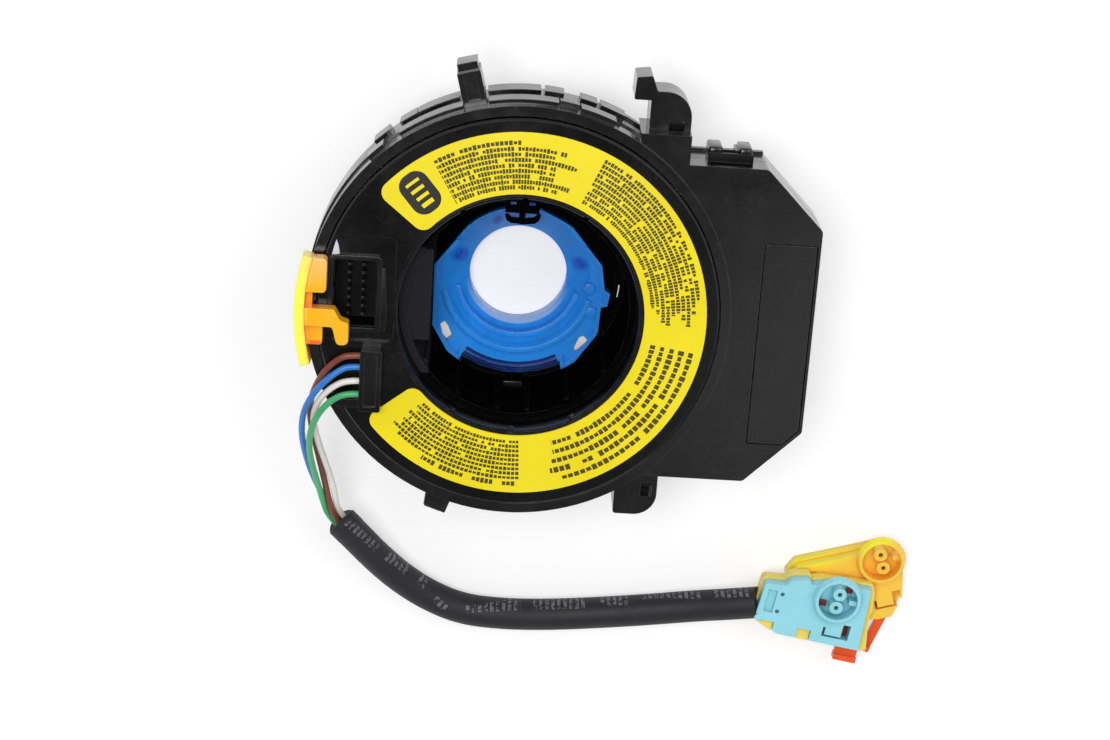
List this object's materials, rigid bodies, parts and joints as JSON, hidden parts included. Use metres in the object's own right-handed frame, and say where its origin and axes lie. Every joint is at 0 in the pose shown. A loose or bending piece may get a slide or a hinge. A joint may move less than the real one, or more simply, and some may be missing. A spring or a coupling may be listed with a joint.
{
  "type": "steering clock spring",
  "caption": "Rotary coupling between a steering column and its wheel: a turning disc in a fixed housing, joined inside by a wound flat cable, with a wire harness and plugs.",
  "frame": {"origin": "on the axis of the column bore, in the plane of the rear seat", "axes": "+Z out of the wheel side along the column axis, +X towards the connector box"},
  "size_m": [0.1728, 0.1726, 0.049],
  "materials": {
    "housing": "moulded black plastic with a fine grain",
    "panel": "moulded black plastic",
    "rotor": "moulded black plastic, slightly glossy",
    "sleeve": "moulded black plastic",
    "label": "yellow film with small dark print bars",
    "socket": "moulded black plastic",
    "pins": "tin plated contact pins",
    "cam": "strong blue moulded plastic",
    "lock": "orange moulded plastic, yellow on the outer handle",
    "wire_brown": "brown wire insulation",
    "wire_blue": "blue wire insulation",
    "wire_white": "white wire insulation",
    "wire_green": "green wire insulation",
    "tube": "black PVC tube",
    "teal": "pale teal moulded plastic",
    "cream": "pale yellow moulded plastic",
    "amber": "amber yellow moulded plastic",
    "red": "red-orange moulded plastic",
    "film": "polyester film with copper tracks",
    "sheet": "slip film"
  },
  "bodies": {
    "stator": {"rear_case": "housing", "front_cover": "housing", "box_cover": "panel", "column_socket_main": "socket", "column_pins_main": "pins", "column_socket_airbag": "socket", "column_pins_airbag": "pins", "outer_lead_block": "socket", "ribbon_cable": "film", "slip_sheet": "sheet"},
    "rotor": {"rotor_disc": "rotor", "label": "label", "switch_socket": "socket", "switch_pins": "pins", "wire_holder": "socket", "hub_sleeve": "sleeve", "cancel_cam": "cam", "sleeve_tube": "tube", "wire_brown": "wire_brown", "wire_blue": "wire_blue", "wire_white": "wire_white", "wire_green": "wire_green", "connector_a_cover": "teal", "connector_a_base": "cream", "connector_a_contacts": "pins", "connector_b_cover": "amber", "connector_b_base": "cream", "connector_b_contacts": "pins"},
    "transport_lock": {"transport_lock": "lock"},
    "connector_a_lock": {"connector_a_lock": "red"},
    "connector_b_lock": {"connector_b_lock": "red"}
  },
  "joints": [
    {"name": "rotor_spin", "type": "hinge", "parent": "stator", "child": "rotor", "pos_m": [0, 0, 0], "axis": [0, 0, 1], "range_deg": [-720, 720], "deforming": ["wire_brown", "wire_blue", "wire_white", "wire_green", "ribbon_cable"]},
    {"name": "transport_lock_pull", "type": "slide", "parent": "rotor", "child": "transport_lock", "axis": [-1, 0, 0], "range_m": [0, 0.03]},
    {"name": "connector_a_lock_slide", "type": "slide", "parent": "rotor", "child": "connector_a_lock", "axis": [-0.165, -0.9863, 0], "range_m": [0, 0.0025]},
    {"name": "connector_b_lock_slide", "type": "slide", "parent": "rotor", "child": "connector_b_lock", "axis": [-0.3486, -0.9373, 0], "range_m": [0, 0.0025]}
  ]
}
